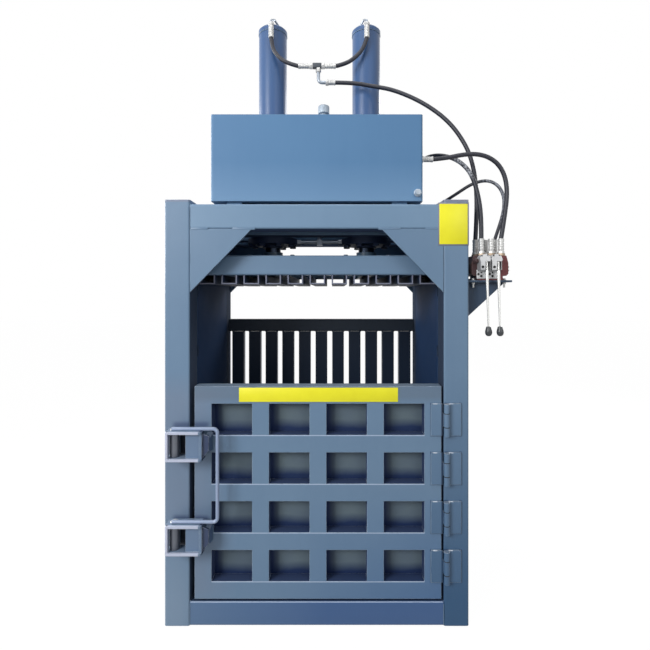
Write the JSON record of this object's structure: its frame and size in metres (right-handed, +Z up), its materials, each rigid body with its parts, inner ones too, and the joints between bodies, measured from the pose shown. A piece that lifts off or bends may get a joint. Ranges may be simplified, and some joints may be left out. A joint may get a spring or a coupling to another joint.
{
  "type": "recycling baler",
  "caption": "Vertical recycling baler: welded frame, press chamber with grid door, latch handle, platen on hydraulic cylinders, oil tank and lever valve.",
  "frame": {"origin": "on the floor under the press chamber, midway between the side posts and midway from front to back", "axes": "+Z up, -Y towards the loading door, +X towards the control levers"},
  "size_m": [1.3848, 0.775, 2.572],
  "materials": {
    "frame_paint": "satin",
    "tank_paint": "satin",
    "sheet_paint": "satin",
    "rod_chrome": "polished",
    "bright_steel": "zinc plated",
    "valve_iron": "painted, satin",
    "pump_iron": "painted, satin",
    "motor_paint": "satin",
    "hose_rubber": "matte",
    "dark_steel": "satin"
  },
  "bodies": {
    "frame": {"bell_housing": "pump_iron", "cap_fittings": "bright_steel", "corner_gussets": "frame_paint", "cylinder_beams": "frame_paint", "cylinder_left": "frame_paint", "cylinder_right": "frame_paint", "floor_bars": "frame_paint", "floor_beam": "frame_paint", "gland_left": "dark_steel", "gland_right": "dark_steel", "hinge_post_leaves": "frame_paint", "hose_cap_side": "hose_rubber", "hose_pump": "hose_rubber", "hose_return": "hose_rubber", "hose_rod_side": "hose_rubber", "hose_top_left": "hose_rubber", "hose_top_right": "hose_rubber", "hydraulic_pump": "pump_iron", "latch_bosses": "frame_paint", "lever_clevises": "bright_steel", "motor_base": "motor_paint", "motor_covers": "motor_paint", "motor_housing": "motor_paint", "oil_tank": "tank_paint", "post_front_left": "frame_paint", "post_front_right": "frame_paint", "post_rear_left": "frame_paint", "post_rear_right": "frame_paint", "power_unit_fittings": "bright_steel", "rear_bars": "frame_paint", "rear_rail": "frame_paint", "rod_side_link": "bright_steel", "side_wall_left": "frame_paint", "side_wall_right": "frame_paint", "sill_front": "frame_paint", "sill_rear": "frame_paint", "sills_side": "frame_paint", "tank_fittings": "bright_steel", "top_beam_front": "frame_paint", "top_beam_rear": "frame_paint", "top_beams_side": "frame_paint", "valve_block": "valve_iron", "valve_bracket": "frame_paint", "valve_fittings": "bright_steel"},
    "platen": {"platen_frame": "frame_paint", "platen_bars": "frame_paint", "rod_left": "rod_chrome", "rod_right": "rod_chrome", "rod_plates": "frame_paint"},
    "door": {"door_grid": "frame_paint", "door_sheet": "sheet_paint", "hinge_door_leaves": "frame_paint", "latch_keepers": "frame_paint"},
    "latch": {"latch_clasps": "frame_paint", "latch_handle": "frame_paint"},
    "lever_left": {"lever_left": "bright_steel"},
    "lever_right": {"lever_right": "bright_steel"},
    "spool_left": {"spool_left": "bright_steel"},
    "spool_right": {"spool_right": "bright_steel"},
    "rotor": {"motor_rotor": "bright_steel"}
  },
  "joints": [
    {"name": "platen_press", "type": "slide", "parent": "frame", "child": "platen", "axis": [0, 0, -1], "range_m": [0, 0.8]},
    {"name": "door_swing", "type": "hinge", "parent": "frame", "child": "door", "pos_m": [0.509, -0.363, 0.5], "axis": [0, 0, 1], "range_deg": [0, 110]},
    {"name": "latch_swing", "type": "hinge", "parent": "frame", "child": "latch", "pos_m": [-0.545, -0.39, 0.55], "axis": [0, 0, -1], "range_deg": [0, 85]},
    {"name": "lever_left_tilt", "type": "hinge", "parent": "frame", "child": "lever_left", "pos_m": [0.665, -0.364, 1.443], "axis": [1, 0, 0], "range_deg": [-14, 14], "stiffness_Nm_per_rad": 8},
    {"name": "lever_right_tilt", "type": "hinge", "parent": "frame", "child": "lever_right", "pos_m": [0.71, -0.364, 1.443], "axis": [1, 0, 0], "range_deg": [-14, 14], "stiffness_Nm_per_rad": 8},
    {"name": "spool_left_slide", "type": "slide", "parent": "frame", "child": "spool_left", "axis": [0, 1, 0], "range_m": [-0.005, 0.005]},
    {"name": "spool_right_slide", "type": "slide", "parent": "frame", "child": "spool_right", "axis": [0, 1, 0], "range_m": [-0.005, 0.005]},
    {"name": "motor_spin", "type": "hinge", "parent": "frame", "child": "rotor", "pos_m": [-0.225, 0.2, 1.793], "axis": [1, 0, 0], "continuous": true}
  ],
  "couplings": [
    {"joint": "spool_left_slide", "follows": "lever_left_tilt", "m_per_rad": 0.018},
    {"joint": "spool_right_slide", "follows": "lever_right_tilt", "m_per_rad": 0.018}
  ]
}
